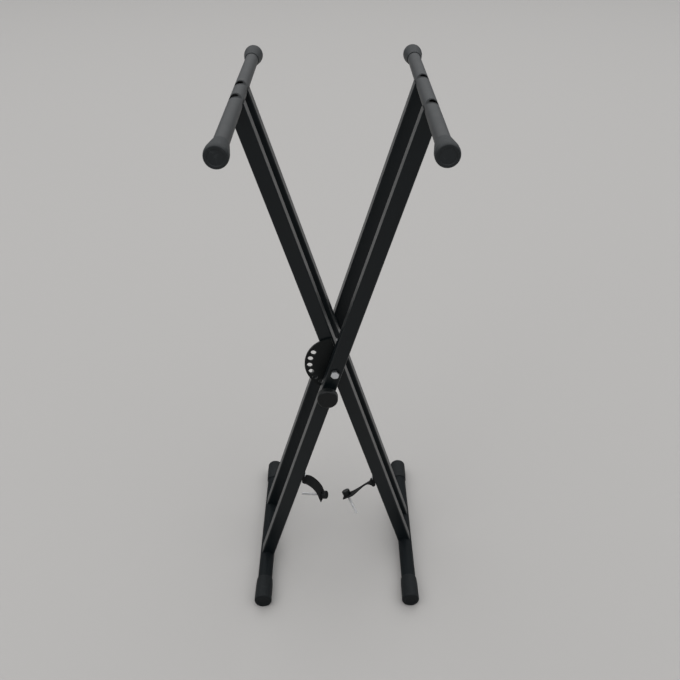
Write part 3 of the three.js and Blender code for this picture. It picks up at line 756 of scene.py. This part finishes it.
model = frame_screw()
for owner in FRAMES:
    for place, y in (("front", -owner["tube_y"]), ("rear", owner["tube_y"])):
        for bar in (TOP_BAR, BASE_TUBE):
            inside = bar["radius"] - BAR_WALL
            seat = math.sqrt(inside ** 2 - SCREW["head"] ** 2) - SEAT
            z = bar["axis"] - bar["sign"] * seat
            node = f"{owner['name']}_{place}_{bar['name']}_screw"
            finished(twin(model), node, owner, ZINC, facing(0, y, z, (0, 0, bar["sign"])))
bpy.data.objects.remove(model)
print("frame screws done")

# %% [markdown]
# ## Pivot
# One long bolt runs through all four tubes, with a low hexagon head and a washer in front and a
# nut and a washer behind. Hexagons get the turned chamfer of real ones by keeping only what lies
# inside a cone. The tail past the nut is threaded.

# %% Threads
THREAD_STEPS, THREAD_ROWS, THREAD_DEPTH, FLANK = 28, 5, 0.45, 2.4


def threaded(radius, pitch, low, high):
    """A rod with a helical thread: rows of points, drawn in by their place on the helix."""
    rows = round((high - low) / pitch * THREAD_ROWS)
    side = [(radius, low + (high - low) * i / rows) for i in range(rows + 1)]
    piece = spun([(0, low), *side, (0, high)], THREAD_STEPS)
    for vertex in piece.data.vertices:
        x, y, z = vertex.co
        if math.hypot(x, y) > radius * MM / 2:
            phase = (z / (pitch * MM) - math.atan2(y, x) / math.tau) % 1
            crest = min(1, FLANK * abs(phase - 0.5))
            inward = 1 - THREAD_DEPTH * pitch * (1 - crest) / radius
            vertex.co = (x * inward, y * inward, z)
    return piece


# %% Pivot bolt, nut and washers
PIVOT_RADIUS, BOLT_PITCH, BOLT_TAIL = 4, 1.25, 2
HEX_RADIUS, HEAD_HEIGHT, NUT_HEIGHT = 7.5, 4, 8
HEX_CHAMFER, CONE_MARGIN, CONE_DROP = math.radians(30), 0.2, 0.1
WASHER_RADIUS, WASHER_THICKNESS, WASHER_CHAMFER = 8.8, 1.6, 0.25
SPACER_RADIUS, SPACER_CHAMFER = 11, 0.5
SLEEVE_RADIUS, SLEEVE_CHAMFER = 8, 0.3
HEAD_SEAT = OUTER_FACE + SEAT + WASHER_THICKNESS + SEAT


def chamfered_hexagon(height, both_ends):
    """A hexagon chamfered at its top, and below too. The prism is longer than the cone, so that
    no two faces of the cut lie in one plane."""
    flat = HEX_RADIUS * math.cos(math.pi / 6)
    drop = (HEX_RADIUS - flat) * math.tan(HEX_CHAMFER) + CONE_DROP
    face, outside = flat - CONE_MARGIN, HEX_RADIUS + CONE_MARGIN
    low = [(0, 0), (face, 0), (outside, drop)] if both_ends else [(0, 0), (outside, 0)]
    high = [(outside, height - drop), (face, height), (0, height)]
    prism = hexagon_bar(HEX_RADIUS, -1, height + 1)
    return cut(prism, spun(low + high), operation="INTERSECT")


head = chamfered_hexagon(HEAD_HEIGHT, False)
put(head, along_y(0, -HEAD_SEAT, 0, -1))
tail = HEAD_SEAT + NUT_HEIGHT + BOLT_TAIL
shank = put(rod(PIVOT_RADIUS, -HEAD_SEAT, HEAD_SEAT), along_y(0, 0, 0, 1))
end_thread = put(threaded(PIVOT_RADIUS, BOLT_PITCH, HEAD_SEAT, tail), along_y(0, 0, 0, 1))
select_only(head, shank, end_thread)
bpy.ops.object.join()
finished(head, "pivot_bolt", OUTER, ZINC)

nut = cut(chamfered_hexagon(NUT_HEIGHT, True), rod(PIVOT_RADIUS + SEAT, -1, NUT_HEIGHT + 1))
finished(nut, "pivot_nut", OUTER, ZINC, along_y(0, HEAD_SEAT, 0, 1))


def on_bolt(node, owner, ring, low, high, material):
    """A ring on the bolt between two faces, its outer edges eased."""
    radius, chamfer = ring
    low, high = low + SEAT, high - SEAT
    outline = [
        (PIVOT_BORE, low), (radius - chamfer, low), (radius, low + chamfer),
        (radius, high - chamfer), (radius - chamfer, high), (PIVOT_BORE, high),
    ]
    return finished(spun(outline), node, owner, material, along_y(0, 0, 0, 1))


washer = (WASHER_RADIUS, WASHER_CHAMFER)
spacer = (SPACER_RADIUS, SPACER_CHAMFER)
sleeve = (SLEEVE_RADIUS, SLEEVE_CHAMFER)
on_bolt("pivot_washer_front", OUTER, washer, -HEAD_SEAT, -OUTER_FACE, BLACK_ZINC)
on_bolt("pivot_washer_rear", OUTER, washer, OUTER_FACE, HEAD_SEAT, BLACK_ZINC)
on_bolt("spacer_front", INNER, spacer, -OUTER_BACK, -PLATE_FRONT, NYLON)
on_bolt("spacer_rear", INNER, spacer, INNER_FACE, OUTER_BACK, NYLON)
on_bolt("pivot_sleeve", INNER, sleeve, -INNER_BACK, INNER_BACK, PLAIN_STEEL)
print("pivot done")

# %% [markdown]
# ## Lock plate
# A fan of 4 mm plate with seven holes for seven heights. It is punched, so its outline is one arc
# and two straight cuts, and its edges are slightly rounded over. Drawing the outline, extruding it
# and drilling it follows the real steps, and one bevel eases every edge at once.

# %% Lock plate
PLATE_RADIUS, PLATE_RIGHT, PLATE_HEEL = 53.5, 10, 11
SETTING_PITCH, SETTINGS, LOCK_HOLE_RADIUS = math.radians(17.65), 7, 4.9
FIRST_HOLE = -math.pi / 2 - 2 * LEAN
END_MARGIN = math.radians(9.4)
ARC_STEPS = 72
PLATE_BEVEL, BEVELLED_FROM = 0.4, math.radians(40)

arc_start = math.acos(PLATE_RIGHT / PLATE_RADIUS)
arc_end = math.tau + FIRST_HOLE + END_MARGIN
fan = [(PLATE_RIGHT, -PLATE_FRONT, -PLATE_HEEL)]
for i in range(ARC_STEPS + 1):
    angle = arc_start + (arc_end - arc_start) * i / ARC_STEPS
    fan.append((PLATE_RADIUS * math.cos(angle), -PLATE_FRONT, PLATE_RADIUS * math.sin(angle)))
plate = extruded(fan, (0, PLATE_THICKNESS, 0))
drills = [put(rod(PIVOT_BORE, INNER_BACK, OUTER_BACK), along_y(0, 0, 0, -1))]
for i in range(SETTINGS):
    angle = FIRST_HOLE - i * SETTING_PITCH
    x, z = LOCK_RADIUS * math.cos(angle), LOCK_RADIUS * math.sin(angle)
    drill = rod(LOCK_HOLE_RADIUS, INNER_BACK, OUTER_BACK, steps=40)
    drills.append(put(drill, along_y(x, 0, z, -1)))
cut(plate, *drills)
apply_modifier(
    plate, "BEVEL", width=PLATE_BEVEL * MM, segments=2,
    limit_method="ANGLE", angle_limit=BEVELLED_FROM)
finished(plate, "lock_plate", INNER, PLATE_COAT)
print("lock plate", len(plate.data.polygons), "faces")

# %% [markdown]
# ## Lock plunger
# A pin slides in a barrel through the front outer tube, and a round plastic knob pulls it. The knob
# is hollow behind so that it can pass over the barrel. All are turned shapes, drawn as outlines of
# (radius, distance in front of the stand's middle). At rest the pin is drawn back, just clear of
# the plate.

# %% Barrel, pin and knob
LOCK_TRAVEL, DRAWN_GAP = 3.8, 0.6
BARREL_PROUD, BARREL_MOUTH, BARREL_CHAMFER, CHAMBER_RADIUS = 7, 3.5, 0.5, 6.6
STEM_RADIUS, STEM_IN_KNOB, STEM_BORE_EASE = 3, 6, 0.35
COLLAR_RADIUS, COLLAR = 6.2, 3
PIN_RADIUS, PIN_CHAMFER = 4.5, 0.8
KNOB_RADIUS, KNOB_EDGE, KNOB_DEPTH, KNOB_OVERLAP = 18.2, 3.5, 13.5, 3.8
KNOB_DISH = ((0, 0.5), (0.45, 0.3))  # share of the radius, depth
KNOB_LIP = ((0, 0.9), (0.25, 0.25), (0.9, 0))  # inwards from the side, forwards from the rim
RECESS_RADIUS, RECESS_CHAMFER = 11, 0.3

BARREL_END = OUTER_FACE + BARREL_PROUD
CHAMBER_END = BARREL_END - BARREL_MOUTH
KNOB_FLOOR = BARREL_END + SEAT + LOCK_TRAVEL
KNOB_RIM = KNOB_FLOOR - KNOB_OVERLAP
KNOB_FRONT = KNOB_RIM + KNOB_DEPTH
STEM_END = KNOB_FLOOR + STEM_IN_KNOB
COLLAR_BACK = OUTER_BACK + COLLAR + LOCK_TRAVEL
COLLAR_FRONT = COLLAR_BACK + COLLAR
PIN_TIP = PLATE_FRONT + DRAWN_GAP
plunger_place = along_y(0, 0, -LOCK_RADIUS, -1)

stem_bore = STEM_RADIUS + STEM_BORE_EASE
barrel_outline = [
    (stem_bore, BARREL_END), (BARREL_RADIUS - BARREL_CHAMFER, BARREL_END),
    (BARREL_RADIUS, BARREL_END - BARREL_CHAMFER), (BARREL_RADIUS, OUTER_BACK),
    (CHAMBER_RADIUS, OUTER_BACK), (CHAMBER_RADIUS, CHAMBER_END), (stem_bore, CHAMBER_END),
]
finished(spun(barrel_outline, steps=64), "lock_barrel", OUTER, ZINC, plunger_place)

pin_outline = [
    (0, STEM_END), (STEM_RADIUS, STEM_END), (STEM_RADIUS, COLLAR_FRONT),
    (COLLAR_RADIUS, COLLAR_FRONT), (COLLAR_RADIUS, COLLAR_BACK), (PIN_RADIUS, COLLAR_BACK),
    (PIN_RADIUS, PIN_TIP + PIN_CHAMFER), (PIN_RADIUS - PIN_CHAMFER, PIN_TIP), (0, PIN_TIP),
]
finished(spun(pin_outline, steps=64), "lock_pin", OUTER, PLAIN_STEEL, plunger_place)

knob_outline = [
    *[(KNOB_RADIUS * share, KNOB_FRONT - depth) for share, depth in KNOB_DISH],
    *reversed(rounded(KNOB_RADIUS, KNOB_FRONT, KNOB_EDGE, KNOB_EDGE, EDGE_STEPS)),
    *[(KNOB_RADIUS - inwards, KNOB_RIM + forwards) for inwards, forwards in KNOB_LIP],
    (RECESS_RADIUS + RECESS_CHAMFER, KNOB_RIM), (RECESS_RADIUS, KNOB_RIM + RECESS_CHAMFER),
    (RECESS_RADIUS, KNOB_FLOOR), (STEM_RADIUS + SEAT, KNOB_FLOOR),
    (STEM_RADIUS + SEAT, STEM_END + SEAT), (0, STEM_END + SEAT),
]
finished(spun(knob_outline, steps=128), "lock_knob", OUTER, KNOB_PLASTIC, plunger_place)
print("lock done")

# %% [markdown]
# ## Straps
# Short webbing tabs that once held a lower fitting. Each is screwed flat on its tube, bends away,
# and bows down to a peg. The middle line and the roll along it are the same as the solid's: a flat
# tab, a bend, a bow and a straight end, each a curve given by its points.


# %% The strap's line
def smoothstep(t):
    t = min(max(t, 0), 1)
    return t * t * (3 - 2 * t)


def bezier(points, t):
    """A point of a Bezier curve and its direction."""
    level = [Vector(p) for p in points]
    while len(level) > 2:
        level = [a.lerp(b, t) for a, b in zip(level, level[1:])]
    return level[0].lerp(level[1], t), (level[1] - level[0]).normalized()


def bow_roll(strap, t):
    early, tip = strap["early_roll"], strap["tip_roll"]
    if t < STRAP_TWIST:
        return early * smoothstep(t / STRAP_TWIST)
    return early + (tip - early) * smoothstep((t - STRAP_TWIST) / (1 - STRAP_TWIST))


def strap_sections(owner, strap, fineness):
    """Places along the webbing: point, direction across it and its upper side."""
    side, y = owner["side"], -owner["tube_y"]
    skin = LEG_SIDE / 2 + SEAT + STRAP_THICKNESS / 2

    def local(point):
        return Vector((side * point[0], y, point[1] - strap["below"]))

    slope =(local(strap["tip"]) - local(strap["tip_handle"])).normalized()
    bend_top = local((skin, -STRAP_FLAT))
    curves = (
        ([local((skin, STRAP_TAB)), bend_top], lambda t: 0),
        ([bend_top, local((skin, strap["knee"][1])), local(strap["knee"])], lambda t: 0),
        ([local(strap[key]) for key in ("knee", "knee_handle", "tip_handle", "tip")],
         lambda t: bow_roll(strap, t)),
        ([local(strap["tip"]), local(strap["tip"]) + slope * STRAP_END],
         lambda t: strap["tip_roll"]),
    )
    sections = []
    for points, roll in curves:
        for i in range(fineness + 1):
            t = i / fineness
            place, along = bezier(points, t)
            turn_by = Matrix.Rotation(side * math.radians(roll(t)), 3, along)
            across = turn_by @ Vector((0, 1, 0))
            sections.append((place, across, across.cross(along) * -side))
    return sections


# %% [markdown]
# ## Laying the webbing
# A fine flat grid is laid along the line, raised by the bumps of a plain weave with a firm
# selvedge, and then given its thickness. A bump map alone would leave the outline too clean.

# %% Webbing
WEAVE_PITCH, WEAVE_RELIEF, RIB_SHARE = 1.5, 0.17, 0.3
SELVEDGE, SELVEDGE_RELIEF, SELVEDGE_INSET = 2.2, 0.35, 0.2
GRID_STEP = 0.36
WEBBING_THICKNESS = STRAP_THICKNESS - 3 * WEAVE_RELIEF


def weave(length_mm, across_mm):
    """Height of a plain weave, calmer at the selvedge."""
    inside = min(1, (STRAP_WIDTH / 2 - abs(across_mm)) / SELVEDGE)
    lengthwise = math.cos(math.pi * length_mm / WEAVE_PITCH)
    crosswise = math.cos(math.pi * across_mm / WEAVE_PITCH)
    rib = RIB_SHARE * math.cos(math.tau * length_mm / WEAVE_PITCH)
    calm = SELVEDGE_RELIEF + (1 - SELVEDGE_RELIEF) * inside
    return WEAVE_RELIEF * (lengthwise * crosswise + rib) * calm


def webbing_strip(sections):
    """Webbing laid along the sections, and its length in millimetres."""
    lengths = [0]
    for a, b in zip(sections, sections[1:]):
        lengths.append(lengths[-1] + (b[0] - a[0]).length)
    total = lengths[-1]
    rows, columns = int(total / GRID_STEP), int(STRAP_WIDTH / GRID_STEP)
    bpy.ops.mesh.primitive_grid_add(x_subdivisions=rows, y_subdivisions=columns, size=1)
    strip = bpy.context.object
    cursor = 0
    for vertex in sorted(strip.data.vertices, key=lambda v: v.co.x):
        along_mm = (vertex.co.x + 0.5) * total
        across_mm = vertex.co.y * (STRAP_WIDTH - WEBBING_THICKNESS * SELVEDGE_INSET)
        while cursor < len(lengths) - 2 and lengths[cursor + 1] < along_mm:
            cursor += 1
        span = lengths[cursor + 1] - lengths[cursor]
        t = (along_mm - lengths[cursor]) / span if span > 0 else 0
        (p0, a0, u0), (p1, a1, u1) = sections[cursor], sections[cursor + 1]
        across = a0.lerp(a1, t).normalized()
        height = weave(along_mm, across_mm)
        vertex.co = (p0.lerp(p1, t) + across * across_mm + u0.lerp(u1, t) * height) * MM
    apply_modifier(strip, "SOLIDIFY", thickness=WEBBING_THICKNESS * MM, offset=0)
    return strip, total


# %% [markdown]
# ## Strap screws and pegs
# A pan-head screw with crossed slots holds each strap to its tube. A long thin peg goes through
# the strap's end, threaded along its whole length, with a small round knob screwed on its top.
# Each is modelled once and copied to both straps.

# %% Straps, their screws, pegs and knobs
STRAP_HEAD_RADIUS, STRAP_HEAD, STRAP_SCREW_TIP, SLOT_SHARE = 4, 2.4, -9, 5
PEG_RADIUS, PEG_LENGTH, PEG_PITCH, PEG_IN_KNOB = 2.4, 42, 0.8, 7
PEG_KNOB_RADIUS, PEG_KNOB_HEIGHT, PEG_KNOB_EDGE = 8, 10, 1.5
PEG_KNOB_CHAMFER, PEG_KNOB_DISH = 0.4, 0.2
PEG_KNOB_RIM = STRAP_THICKNESS + SEAT
PEG_KNOB_TOP = PEG_KNOB_RIM + PEG_KNOB_HEIGHT
PEG_END = PEG_KNOB_RIM + PEG_IN_KNOB
PEG_PUNCH, SCREW_PUNCH = (-4, 6), (-6, 2)
BOW_STEPS, SMALL_EDGE_STEPS = 32, 8


def pan_screw():
    r, head, crown = STRAP_SCREW_RADIUS, STRAP_HEAD_RADIUS, STRAP_HEAD / 2
    body = spun([
        (0, STRAP_SCREW_TIP), (r, STRAP_SCREW_TIP), (r, 0), (head, 0),
        *rounded(head, STRAP_HEAD, crown, crown, SMALL_EDGE_STEPS), (0, STRAP_HEAD),
    ], steps=48)
    for x, y in ((head, head / SLOT_SHARE), (head / SLOT_SHARE, head)):
        corners = [(-x / 2, -y / 2), (x / 2, -y / 2), (x / 2, y / 2), (-x / 2, y / 2)]
        slot = extruded([(a, b, crown) for a, b in corners], (0, 0, STRAP_HEAD))
        cut(body, slot)
    return body


def peg_knob():
    inside, edge = PEG_RADIUS + SEAT, PEG_KNOB_EDGE
    return spun([
        (inside, PEG_KNOB_RIM), (PEG_KNOB_RADIUS - PEG_KNOB_CHAMFER, PEG_KNOB_RIM),
        (PEG_KNOB_RADIUS, PEG_KNOB_RIM + PEG_KNOB_CHAMFER),
        *rounded(PEG_KNOB_RADIUS, PEG_KNOB_TOP, edge, edge, SMALL_EDGE_STEPS),
        (0, PEG_KNOB_TOP - PEG_KNOB_DISH), (0, PEG_END + SEAT), (inside, PEG_END + SEAT),
    ], steps=96)


screw_model, knob_model = pan_screw(), peg_knob()
peg_model = threaded(PEG_RADIUS, PEG_PITCH, -PEG_LENGTH, PEG_END)
screw_head = LEG_SIDE / 2 + SEAT + STRAP_THICKNESS + SEAT
for owner in FRAMES:
    name, side = owner["base"], owner["side"]
    strap = STRAPS[name]
    strip, total = webbing_strip(strap_sections(owner, strap, BOW_STEPS))
    place, across, upper = strap_sections(owner, strap, 1)[-1]
    along = upper.cross(across) * -side
    under = place - along * (STRAP_END / 2) - upper * (STRAP_THICKNESS / 2)
    peg_place = facing(*under, upper)
    screw_place = facing(side * screw_head, -owner["tube_y"], -strap["below"], (side, 0, 0))
    peg_punch = rod(PEG_RADIUS + HOLE_EASE, *PEG_PUNCH, steps=32)
    screw_punch = rod(STRAP_SCREW_RADIUS + HOLE_EASE, *SCREW_PUNCH, steps=32)
    cut(strip, put(peg_punch, peg_place), put(screw_punch, screw_place))
    finished(strip, f"{name}_strap", owner, WEBBING, smooth_degrees=60)
    finished(twin(screw_model), f"{name}_strap_screw", owner, ZINC, screw_place)
    finished(twin(peg_model), f"{name}_peg", owner, PLAIN_STEEL, peg_place)
    finished(twin(knob_model), f"{name}_peg_knob", owner, KNOB_PLASTIC, peg_place)
    print(name, "strap", round(total, 1), "mm,", len(strip.data.polygons), "faces")
for model in (screw_model, knob_model, peg_model):
    bpy.data.objects.remove(model)

# %% [markdown]
# ## What stays as it came
# The plugs and the lock's spring are out of sight inside the tubes. They keep their solids and
# only take their finish.

# %% Finishes for the remaining solids
FINISHES = {
    "powder_coat": COAT,
    "rubber": CAP_RUBBER,
    "black_plastic": KNOB_PLASTIC,
    "nylon": NYLON,
    "zinc": ZINC,
    "plain_steel": PLAIN_STEEL,
    "webbing": WEBBING,
}
for node, slot_name in SLOTS.items():
    for material_slot in frame["nodes"][node].material_slots:
        material_slot.link = "OBJECT"
        material_slot.material = FINISHES[slot_name]
